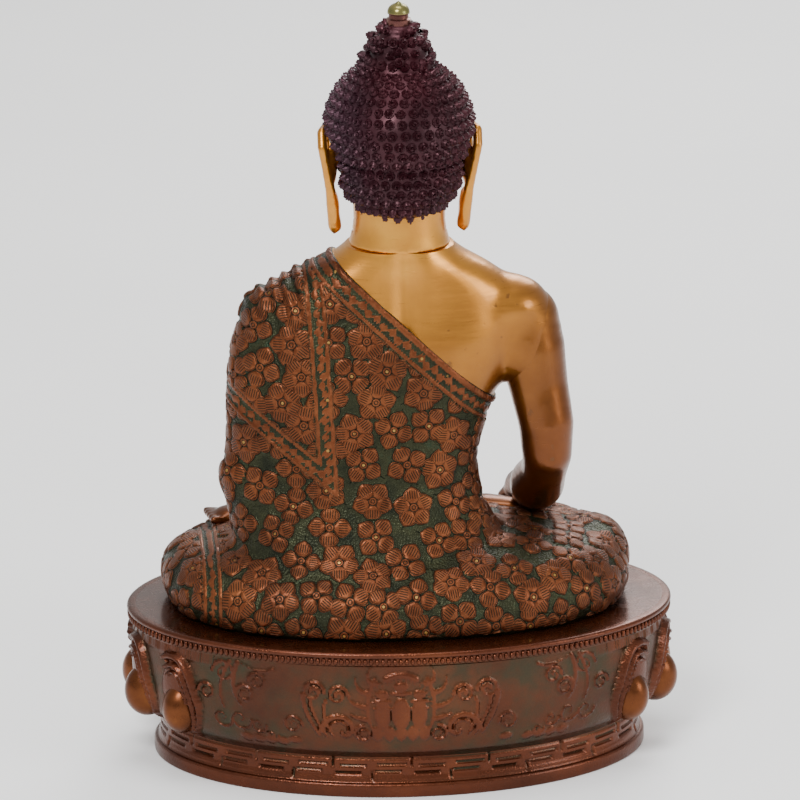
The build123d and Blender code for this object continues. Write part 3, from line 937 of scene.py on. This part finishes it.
def make_head(gold):
    parts = [lofted("neck", [(366, 35, 30.5, 0, 6), (378, 32, 29.5, 0, 6), (402, 32, 30, 0, 4)])]
    parts += [ball(*lump) for lump in FACE_LUMPS] + limb(NOSE) + limb(BROW) + limb(mirrored(BROW))
    for way in (1, -1):
        helix = HELIX if way > 0 else mirrored(HELIX)
        parts += limb(helix)
        parts += [ball((way * 47, 3, 424), (5, 11, 20)), ball((way * 44.5, 4, 388), (3.8, 7, 16))]
    head = join(parts)
    remesh(head, 1.25 * MM, 7)
    p, n = corners(head.data) / MM, corner_normals(head.data)
    x, y, z = np.abs(p[:, 0]), p[:, 1], p[:, 2]
    lid = rounded(z, 426.5 + ((x - 17) / 12) ** 2 * 1.6, 0.9) * (np.abs(x - 17) < 12.5) * (y < -38)
    mouth = rounded(z, 398.6 + (x / 12) ** 2 * 1.0, 0.8) * (x < 12.5) * (y < -48)
    lines = np.zeros(len(p))
    for ring_z in (383, 375):
        lines = np.maximum(lines, rounded(z, ring_z + 0.04 * p[:, 1], 0.9) * (x < 34) * (z < 388) * (y < 10))
    move_corners(head.data, (p - n * (0.9 * np.maximum(lid, mouth) + 0.6 * lines)[:, None]) * MM)
    finish_piece(head, "head_skin", "gold_skin", gold, "head_shell")


HAIR_LUMPS = [((0, 5, 449), (49.5, 54, 43)), ((0, 5, 459), (46, 48, 35)), ((0, 15, 421), (41, 37, 36))]
TIERS = [(489, 25.5, 12), (501, 19.0, 12), (513, 12.5, 7)]
CURL = 7.7


def curl_shape():
    """One snail curl, about the +Z axis: corners, faces and how high each corner is, from 0 to 1."""
    stations, turns = 15, 1.9
    places, faces = [], []
    for i in range(stations):
        t = i / (stations - 1)
        angle = t * turns * 2 * math.pi
        out = 2.75 * (1 - t) ** 0.85 + 0.05
        thick = 1.45 * (1 - 0.4 * t)
        high = 0.9 + 2.7 * t
        for across, lift in ((thick, -1.0), (0.25 * thick, 0.55 * thick), (-thick, -0.6)):
            r = max(out + across, 0.0)
            places.append((r * math.cos(angle), r * math.sin(angle), high + lift))
    for i in range(stations - 1):
        for k in range(2):
            a = i * 3 + k
            faces.append((a, a + 3, a + 4, a + 1))
    faces += [(0, 1, 2), ((stations - 1) * 3 + 2, (stations - 1) * 3 + 1, (stations - 1) * 3)]
    foot = len(places)
    for radius, high in ((4.1, -1.2), (3.3, 0.9)):
        places += [(radius * math.cos(a), radius * math.sin(a), high)
                   for a in np.linspace(0, 2 * math.pi, 8, False)]
    for k in range(8):
        j = (k + 1) % 8
        faces.append((foot + k, foot + j, foot + 8 + j, foot + 8 + k))
    faces.append(tuple(foot + 8 + k for k in range(8)))
    places = np.array(places)
    return places, faces, np.clip(places[:, 2] / 2.8, 0, 1)


def hair_rows(tree):
    """Where the curls stand, row by row from the crown to the nape, and the way the hair faces there."""
    rng = np.random.RandomState(5)
    found = []

    def look(origin, way):
        hit, normal, *_ = tree.ray_cast(origin + way * 0.2, -way)
        if hit:
            found.append((np.array(hit), np.array(normal)))

    centre = Vector((0, 5, 449)) * MM
    for row in range(1, 13):
        polar = row * CURL * 0.93 / 49
        if polar > 1.62:
            break
        count = int(2 * math.pi * 50 * math.sin(polar) / CURL)
        for k in range(count):
            a = (k + 0.5 * (row % 2) + rng.uniform(-0.08, 0.08)) / count * 2 * math.pi
            level = math.sin(polar)
            look(centre, Vector((level * math.cos(a), level * math.sin(a), math.cos(polar))))
    for row in range(1, 10):
        z = (447 - row * CURL * 0.93) * MM
        count = int(2 * math.pi * 44 / CURL)
        for k in range(count):
            a = (k + 0.5 * (row % 2) + rng.uniform(-0.08, 0.08)) / count * 2 * math.pi
            look(Vector((0, 10 * MM, z)), Vector((math.cos(a), math.sin(a), 0)))
    for low, radius, high in TIERS:
        for level in range(max(1, round(high / 6.2))):
            count = max(5, int(2 * math.pi * (radius + 1) / (CURL * 0.92)))
            for k in range(count):
                a = (k + 0.5 * (level % 2)) / count * 2 * math.pi
                x, y, z = radius * math.cos(a), 2 + radius * math.sin(a), low + 3.0 + level * 6.2
                facing = np.array([math.cos(a), math.sin(a), 0.35]) / math.hypot(1, 0.35)
                found.append((np.array([x, y, z]) * MM, facing))
    return found


def has_hair(place):
    """Hair grows behind the ears and above the brow, down to a rounded line at the nape."""
    x, y, z = place / MM
    if z < 388 + 0.010 * x * x:
        return False
    if y < -13 and z < 460 + (y + 13) * 0.12:
        return False
    return not (abs(x) > 40 and y < 20 and z < 447)


def make_hair(finish):
    parts = [ball(*lump, around=48) for lump in HAIR_LUMPS]
    for low, radius, high in TIERS:
        parts.append(ball((0, 2, low + high * 0.35), (radius, radius, high * 0.75)))
    cap = join(parts)
    remesh(cap, 2.0 * MM, 5)
    tree = BVHTree.FromObject(cap, bpy.context.evaluated_depsgraph_get())
    shape, shape_faces, tips = curl_shape()
    places, faces, heights = [], [], []
    kept = []
    for place, normal in hair_rows(tree):
        if has_hair(place) and all(np.sum((place - other) ** 2) > (CURL * 0.62 * MM) ** 2 for other in kept):
            kept.append(place)
            side = np.cross(normal, (0.1, 0.2, 1.0))
            side /= np.linalg.norm(side)
            turn = len(kept) * GOLDEN
            up = np.cross(normal, side)
            a, b = side * math.cos(turn) + up * math.sin(turn), up * math.cos(turn) - side * math.sin(turn)
            base = len(places)
            places += [place + (q[0] * a + q[1] * b + q[2] * normal) * MM for q in shape]
            faces += [tuple(base + k for k in face) for face in shape_faces]
            heights += list(tips)
    curls = mesh_piece("curls", places, faces)
    paint(curls.data, "relief", heights)
    paint(cap.data, "relief", np.zeros(len(cap.data.vertices)))
    cut(cap, (0, 0, 386 * MM), (0, 0, 1), keep_above=True)
    p = corners(cap.data) / MM
    low_front = (p[:, 1] < -11) & (p[:, 2] < 460)
    p[low_front, 1] = np.maximum(p[low_front, 1], -9)
    move_corners(cap.data, p * MM)
    finish_piece(join([cap, curls]), "hair_curls", "dark_hair", finish, "hair_cap")


# ---------------------------------------------------------------- the pedestal

SIDE_SHARE = 0.35
RIM_OUT = (RIM_RX - FOOT_RX) / MM
DRUM = [(28, -5), (31, -2.5), (36, 3), (48, 9), (62, 12.5), (78, 13.5), (90, 12.8), (97, 12)]
MOTIF_SHIFT = 8.0
BOSS_ANGLES = (-31.5, -10.5, 10.5, 31.5)
BULB_RADII, BULB_HEIGHT, BULB_INSET = (16.5, 13.5, 19.0), 51, 10
DRUM_WALL, FOOT_WALL = 3, 4
END_REACH, SIDE_SPARE = 24.5, 0.3
FRET_PITCH, BEAD_PITCH, BEAD_DROP = 54, 4.1, 6.6
JEWEL_CAP = 8


def plan(offset):
    """Half width and half depth of the pedestal's oval: it flares less over the long sides."""
    return FOOT_RX / MM + offset, FOOT_RY / MM + (offset * SIDE_SHARE if offset > 0 else offset)


class Field:
    """A height field round the oval: s runs round it from the middle of a face, z runs up it, both in mm."""

    def __init__(self, low, high, cell, offset):
        self.angle = np.linspace(0, 2 * math.pi, 4001)
        rx, ry = plan(offset)
        step = np.hypot(np.diff(rx * np.sin(self.angle)), np.diff(ry * np.cos(self.angle)))
        self.arc = np.concatenate([[0], np.cumsum(step)])
        self.length = self.arc[-1]
        self.columns = int(self.length / cell)
        self.rows = int((high - low) / cell) + 1
        self.s = np.linspace(0, self.length, self.columns, endpoint=False)
        self.z = np.linspace(low, high, self.rows)
        self.S, self.Z = np.meshgrid(self.s, self.z)
        self.height = np.zeros_like(self.S)

    def around(self, s):
        """How far each column lies from s, the short way round."""
        return (self.S - s + self.length / 2) % self.length - self.length / 2

    def dome(self, s, z, rs, rz, high):
        a, b = self.around(s) / rs, (self.Z - z) / rz
        self.height = np.maximum(self.height, high * np.sqrt(np.clip(1 - a * a - b * b, 0, 1)))

    def stroke(self, points, wide, high, taper=0.35):
        """A half-round ridge along the points, thinner towards its end."""
        points = np.array(points, float)
        for i, (s, z) in enumerate(points):
            half = wide / 2 * (1 - (1 - taper) * i / len(points))
            d2 = (self.around(s) ** 2 + (self.Z - z) ** 2) / half**2
            ridge = high * (0.55 + 0.45 * half / (wide / 2)) * np.sqrt(np.clip(1 - d2, 0, 1))
            self.height = np.maximum(self.height, ridge)

    def point(self, s, z, offset, lift=0.0):
        a = np.interp(np.asarray(s) % self.length, self.arc, self.angle)
        rx, ry = plan(offset)
        x, y = (rx + lift) * np.sin(a), (ry + lift) * np.cos(a)
        return np.stack([x, y, np.broadcast_to(z, np.shape(a))], -1)

    def skin(self, name, offsets, lift):
        places = [self.point(self.s, z, off, h) * MM for z, off, h in zip(self.z, offsets, lift)]
        faces = [(a, d, c, b) for a, b, c, d in ring_faces(self.rows, self.columns)]
        return mesh_piece(name, np.concatenate(places), faces)


def spiral(s, z, radius, turns, start, way=1, steps=34):
    """Points from the outside of a volute to its eye."""
    found = []
    for i in range(steps):
        t = i / (steps - 1)
        angle = start + way * turns * 2 * math.pi * t
        out = radius * (1 - t) ** 0.8 + 0.3
        found.append((s + out * math.cos(angle), z + out * math.sin(angle)))
    return found


def bend(a, b, c, steps=22):
    """Points along a smooth bend from a to c, drawn towards b."""
    t = np.linspace(0, 1, steps)[:, None]
    a, b, c = np.array(a, float), np.array(b, float), np.array(c, float)
    return (1 - t) ** 2 * a + 2 * t * (1 - t) * b + t * t * c


class Side:
    """Relief on a field, placed by how far it lies to one side of a middle line; way mirrors it."""

    def __init__(self, field, middle, way=1):
        self.field, self.middle, self.way = field, middle, way

    def at(self, x):
        return self.middle + self.way * x

    def dome(self, x, z, rx, rz, high):
        self.field.dome(self.at(x), z, rx, rz, high)

    def bend(self, a, b, c, wide, high, taper=0.35, steps=22):
        points = bend(*((self.at(x), z) for x, z in (a, b, c)), steps)
        self.field.stroke(points, wide, high, taper)

    def curl(self, x, z, radius, turns, start, turning, wide, high, taper=0.35):
        self.field.stroke(spiral(self.at(x), z, radius, turns, start, turning), wide, high, taper)


def centre_motif(field, s0):
    """Lidded jars on a row of lotus petals, in a flaming aureole, with double volutes on each side."""
    middle = Side(field, s0)
    for k in range(-2, 3):
        x = k * 8.2
        middle.dome(x, 48.5, 4.3, 6.0, 2.0)
        middle.bend((x, 53), (x, 48), (x, 43), 1.6, 2.6)
    for x, wide, top in ((-12.5, 5.4, 74), (0, 6.6, 80), (12.5, 5.4, 74)):
        middle.dome(x, 63, wide, 12.0, 3.4)
        middle.dome(x, top - 2, wide + 1.2, 2.0, 3.0)
        middle.dome(x, top + 3, wide * 0.8, 3.6, 2.8)
        middle.bend((x - wide, 67), (x, 65), (x + wide, 67), 1.5, 3.9, 1)
    middle.bend((-10, 88), (0, 94), (10, 88), 4.6, 2.4, 1)
    for k in range(-9, 10):
        across, up = math.sin(k * 0.155), math.cos(k * 0.155)
        middle.bend((21 * across, 64 + 23 * up), (23 * across, 64 + 26 * up),
                    (26 * across, 64 + 28.5 * up), 1.5, 1.3, steps=8)
    flames = (((17, 85), (21, 96)), ((22, 78), (31, 89)), ((24, 68), (36, 75)), ((23, 59), (35, 63)))
    for way in (1, -1):
        side = Side(field, s0, way)
        for (x, z), tip in flames:
            side.bend((x, z), (x + 9, z + 1), tip, 4.6, 2.1, 0.2)
        side.bend((18, 88), (27, 68), (19, 50), 3.4, 1.8, 0.7)
        side.curl(26, 48, 6.0, 1.6, math.pi / 2, -way, 2.7, 2.2)
        double_volute(side)


def double_volute(side):
    """The scrolls beside the jars: two volutes on one stalk, over a large C scroll and a small curl."""
    way = side.way
    near, far = (math.pi, 0) if way > 0 else (0, math.pi)
    for x, z, radius in ((43, 76, 7.0), (60, 78, 7.6)):
        side.curl(x, z, radius, 1.5, near, -way, 2.9, 2.7)
        side.curl(x, z, radius - 3.2, 0.8, near, -way, 1.8, 2.3)
    side.bend((67, 76), (66, 62), (57, 47), 3.4, 2.7, 0.8)
    side.bend((62, 72), (60, 60), (52, 46), 2.6, 2.4, 0.8)
    side.bend((51, 72), (56, 62), (47, 46), 2.6, 2.4, 0.8)
    side.curl(41, 50, 13.5, 0.85, far, way, 4.6, 2.8, 0.45)
    side.curl(41, 50, 8.5, 0.8, far, way, 2.2, 2.2, 0.5)
    side.curl(75, 53, 6.6, 1.6, near, -way, 2.6, 2.2)
    side.dome(75, 41.5, 5.5, 3.2, 1.6)


def corner_scrolls(side):
    """Cloud curls under the rim and over the foot, between the panel and the lotus bosses."""
    way = side.way
    side.bend((92, 92), (100, 86), (118, 95), 2.6, 2.0, 0.4)
    for x, z, radius, high in ((103, 82, 6.4, 2.4), (112, 72, 6.8, 2.6), (128, 86, 8.4, 2.2),
                               (141, 70, 6.2, 2.0)):
        side.curl(x, z, radius, 1.5, math.pi if way < 0 else 0, way, 2.8, high)
    side.bend((118, 94), (124, 74), (115, 64), 3.8, 2.2, 0.5)
    side.bend((124, 94), (134, 74), (128, 60), 3.4, 2.0, 0.5)
    for x, z, radius in ((104, 50, 5.4), (117, 53, 8.0), (131, 52, 7.4), (95, 43, 4.2)):
        side.curl(x, z, radius, 1.2, math.pi, 1, 2.6, 1.9)
    for k in range(4):
        side.dome(88 + 9 * k, 40, 5.4, 3.4, 1.5)


def boss_fronds(side):
    """Layered curling petals that wrap over one lotus boss."""
    for reach, high, wide in ((18.0, 6.4, 5.2), (13.2, 7.6, 4.2), (9.4, 7.0, 3.0)):
        top = 66 + reach * 1.35
        side.bend((reach * 0.55, top - 3), (-reach * 0.6, top + 7), (-reach, 58), wide, high, 0.85, 30)
        side.bend((-reach, 60), (-(reach + 1), 46), (-reach * 0.35, 33), wide * 0.85, high * 0.8, 0.4, 26)
    side.curl(6, 86, 4.6, 1.3, 0, side.way, 2.8, 5.4)
    side.dome(0, 58, 15.5, 30, 4.2)


def boss_place(field, end, angle):
    """How far round the oval a boss lies."""
    a = math.radians(90 * end - end * angle)
    return np.interp(a % (2 * math.pi), field.angle, field.arc)


def make_drum(finish, gold):
    field = Field(DRUM[0][0], DRUM[-1][0], 1.15, 12)
    half = field.length / 2
    for s0, corner in ((MOTIF_SHIFT, MOTIF_SHIFT / 2), (half, half)):
        centre_motif(field, s0)
        for way in (1, -1):
            corner_scrolls(Side(field, corner, way))
    bosses = [(end, angle) for end in (1, -1) for angle in BOSS_ANGLES]
    for end, angle in bosses:
        boss_fronds(Side(field, boss_place(field, end, angle), 1 if angle * end > 0 else -1))
    fringe = np.abs(np.sin(field.S / 2.6 * math.pi)) ** 0.6 * np.clip(field.Z - 88.5, 0, 1)
    side = np.clip((np.abs(np.sin(np.interp(field.S, field.arc, field.angle))) - 0.62) / 0.15, 0, 1)
    field.height = np.maximum(field.height, fringe * side * 1.1)
    offsets = curve_through(DRUM, field.z)[:, 0]
    end = np.abs(np.sin(np.interp(field.s, field.arc, field.angle)))
    end = np.clip((end - 0.66) / 0.12, 0, 1) ** 2
    limit = (END_REACH - offsets)[:, None] * end
    limit += (SIDE_SHARE * (RIM_OUT - offsets) + SIDE_SPARE)[:, None] * (1 - end)
    limit = np.minimum(limit, 6.5 + 5.0 * end)
    lift = limit * (1 - np.exp(-field.height / np.maximum(limit, 0.1) * 1.15))
    drum = field.skin("drum", offsets, lift)
    paint(drum.data, "relief", np.clip(field.height / 2.2, 0, 1).ravel())
    bulbs = []
    for end, angle in bosses:
        a = math.radians(angle)
        x = end * (RIM_RX / MM - BULB_INSET) * math.cos(a)
        y = (RIM_RY / MM - BULB_INSET) * math.sin(a)
        facing = math.degrees(math.atan2(y / 0.48, x))
        bulbs.append(ball((x, y, BULB_HEIGHT), BULB_RADII, (0, 0, facing)))
    bulb = join(bulbs)
    finer(bulb)
    paint(bulb.data, "relief", np.ones(len(bulb.data.vertices)))
    finish_piece(bulb, "lotus_bulbs", "relief_base", gold)
    modify(drum, "SOLIDIFY", thickness=DRUM_WALL * MM, offset=-1, use_even_offset=False)
    return finish_piece(drum, "drum_relief", "relief_base", finish, "pedestal_drum")


def make_foot_ring(finish):
    """The plain foot, and the fret band with its slots cut in."""
    low, high = BAND_LOW / MM, BAND_HIGH / MM
    field = Field(low, high, 0.95, -4)
    count = round(field.length / FRET_PITCH)
    pitch = field.length / count
    slots = np.zeros_like(field.S)
    for k in range(count):
        s = k * pitch
        marks = [(s, 24.0, 0.9, 3.6), (s + pitch * 0.5, 14.6, 0.9, 3.2)]
        marks += [(s + pitch * 0.25, 22.6, pitch * 0.19, 0.9), (s + pitch * 0.30, 17.6, pitch * 0.17, 0.9)]
        marks += [(s + pitch * 0.74, 21.6, pitch * 0.17, 0.9), (s + pitch * 0.80, 16.4, pitch * 0.17, 0.9)]
        for at, z, half_s, half_z in marks:
            edge = np.maximum(np.abs(field.around(at)) - half_s, np.abs(field.Z - z) - half_z)
            slots = np.maximum(slots, np.clip(0.5 - edge / 0.9, 0, 1))
    groove = np.clip(1 - np.abs(field.Z - (high - 1.2)) / 1.3, 0, 1)
    groove = groove + np.clip(1 - np.abs(field.Z - (low + 0.6)) / 1.0, 0, 1)
    levels = [low, low + 1.5, 15, 22, high - 2, high]
    offsets = np.interp(field.z, levels, [-2.2, -3.0, -4.2, -4.6, -4.4, -5.4])
    band = field.skin("band", offsets, -1.6 * slots - 0.7 * np.clip(groove, 0, 1))
    paint(band.data, "relief", np.clip(1 - 1.1 * np.maximum(slots, groove), 0, 1).ravel())
    ring = Field(0, low, 2.5, 0)
    ring.z = np.array([0.0, 0.6, 1.4, low - 2.4, low - 1.2, low - 0.4, low, low, low])
    ring.rows = len(ring.z)
    plinth = ring.skin("plinth", [-1.0, -0.2, 0, 0, -0.3, -1.0, -2.0, -3.5, -6.0], np.zeros(ring.rows))
    paint(plinth.data, "relief", np.ones(len(plinth.data.vertices)))
    made = weld([band, plinth])
    modify(made, "SOLIDIFY", thickness=FOOT_WALL * MM, offset=-1, use_even_offset=False)
    p = corners(made.data)
    p[:, 2] = np.maximum(p[:, 2], 0)
    move_corners(made.data, p)
    finish_piece(made, "fret_foot", "lacquered_base", finish, "plinth_ring")


def make_rim(finish):
    """A rolled rim with a row of beads under it."""
    top = DECK / MM
    profile = [(-6, top - 5), (-6, top), (-3, top), (-1.2, top - 0.2), (-0.3, top - 1.0), (0, top - 2.2),
               (-0.7, top - 3.6), (-2.0, top - 4.4), (-2.4, top - 8.8), (-3.0, top - 10.6),
               (-5.0, top - 11), (-6, top - 11)]
    ring = Field(0, 1, 2.0, RIM_OUT)
    ring.rows = len(profile) + 1
    ring.z = np.array([z for _, z in profile] + [profile[0][1]])
    rolled = ring.skin("rolled", [RIM_OUT] * ring.rows, [o for o, _ in profile] + [profile[0][0]])
    face_out(rolled)
    beads = int(ring.length / BEAD_PITCH)
    shape, shape_faces = unit_sphere(8, 6)
    places, faces = [], []
    for k in range(beads):
        s = k / beads * ring.length
        middle = ring.point(s, top - BEAD_DROP, RIM_OUT, -2.0)
        ahead = ring.point(s + 0.5, top - BEAD_DROP, RIM_OUT, -2.0)
        along = (ahead - middle) / np.linalg.norm(ahead - middle)
        out = np.cross((0, 0, 1.0), along)
        up = np.array([0, 0, 2.2 * (1 + 0.35 * abs(middle[0]) / (RIM_RX / MM))])
        base = len(places)
        places += [(middle + q[0] * along * 1.7 + q[1] * out * 1.8 + q[2] * up) * MM for q in shape]
        faces += [tuple(base + i for i in face) for face in shape_faces]
    beading = mesh_piece("beading", places, faces)
    paint(rolled.data, "relief", [0.25 if p[2] / MM < top - 6 else 1.0 for p in corners(rolled.data)])
    paint(beading.data, "relief", np.ones(len(beading.data.vertices)))
    finish_piece(weld([rolled, beading]), "beaded_edge", "lacquered_base", finish, "beaded_rim")


# ---------------------------------------------------------------- jewel and bowl

def turned(name, profile, middle, around=48):
    """A body turned about a vertical axis, from (radius, height) pairs."""
    places = []
    for radius, z in profile:
        for a in np.linspace(0, 2 * math.pi, around, endpoint=False):
            x, y = middle[0] + radius * math.cos(a), middle[1] + radius * math.sin(a)
            places.append((x * MM, y * MM, z * MM))
    made = mesh_piece(name, places, ring_faces(len(profile), around))
    face_out(made, merge=0.01 * MM)
    return made


def make_jewel(finish):
    low, high = (corner.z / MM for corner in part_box("finial"))
    cap = high - JEWEL_CAP
    profile = [(0, low - 3), (8.4, low - 3), (8.4, low + 0.6), (6.9, low + 1.4), (6.7, cap - 1.2),
               (7.6, cap - 0.6), (7.7, cap)]
    profile += [(7.7 * math.cos(t) ** 0.8, cap + 6.2 * math.sin(t)) for t in np.linspace(0.12, 1.25, 8)]
    profile += [(1.2, high - 0.8), (0, high)]
    finish_piece(turned("jewel", profile, (0, 2)), "top_jewel", "gold_jewel", finish, "finial")


def make_bowl(finish):
    low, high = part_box("alms_bowl")
    z, tall = low.z / MM, (high.z - low.z) / MM
    middle = ((low.x + high.x) / 2 / MM, (low.y + high.y) / 2 / MM)
    outer = [(0, 0), (11, 0), (11.4, 1.6), (14, 3.2), (20, 7), (24.2, 12), (25, 16), (24.4, 21),
             (22.4, 25.5), (22.6, 27)]
    inner = [(21.6, tall), (20.3, 27), (20.8, 24.6), (22.3, 20.5), (22.7, 16), (21.8, 12.4),
             (17.5, 8.4), (9, 5.4), (0, 5)]
    bowl = turned("bowl", [(r, z + h) for r, h in outer + inner], middle)
    finer(bowl)
    paint(bowl.data, "relief", np.full(len(bowl.data.vertices), 0.7))
    finish_piece(bowl, "offering_bowl", "patinated_bowl", finish, "alms_bowl")


# ---------------------------------------------------------------- the whole statue

set_camera()
set_studio()
robe_finish, gold, turned_brass = chased_robe(), bare_gold_painted_shade(), plain_brass()
lacquer = base_brown("deck_lacquer", False, 0.20)
relief_brown = base_brown("relief_brown", True, 0.30)
rim_brown = base_brown("rim_brown", True, 0.26, 1.1)
looks = {"seat_plate": lacquer}
for node in ("cover_plate", "cover_screws", "studs", "washers", "nuts", "shoulder_dowel", "wrist_dowel",
             "neck_spigot"):
    looks[node] = turned_brass
for node, look in looks.items():
    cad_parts[node].data.materials.clear()
    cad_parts[node].data.materials.append(look)

skin = body()
make_robe(skin, robe_finish)
make_shoulder(skin, gold)
bpy.data.objects.remove(skin)
make_arm(gold)
make_hand("right_hand", HAND_DOWN, (1.35, 0.8, 1), gold)
make_hand("left_hand", HAND_UP, (1, 1.25, 0.55), gold)
for sole in SOLES:
    make_foot(sole, gold)
make_head(gold)
make_hair(dark_curls())
make_jewel(jewel_finish())
make_bowl(relief_brown)
make_drum(relief_brown, boss_gold())
make_foot_ring(rim_brown)
make_rim(rim_brown)
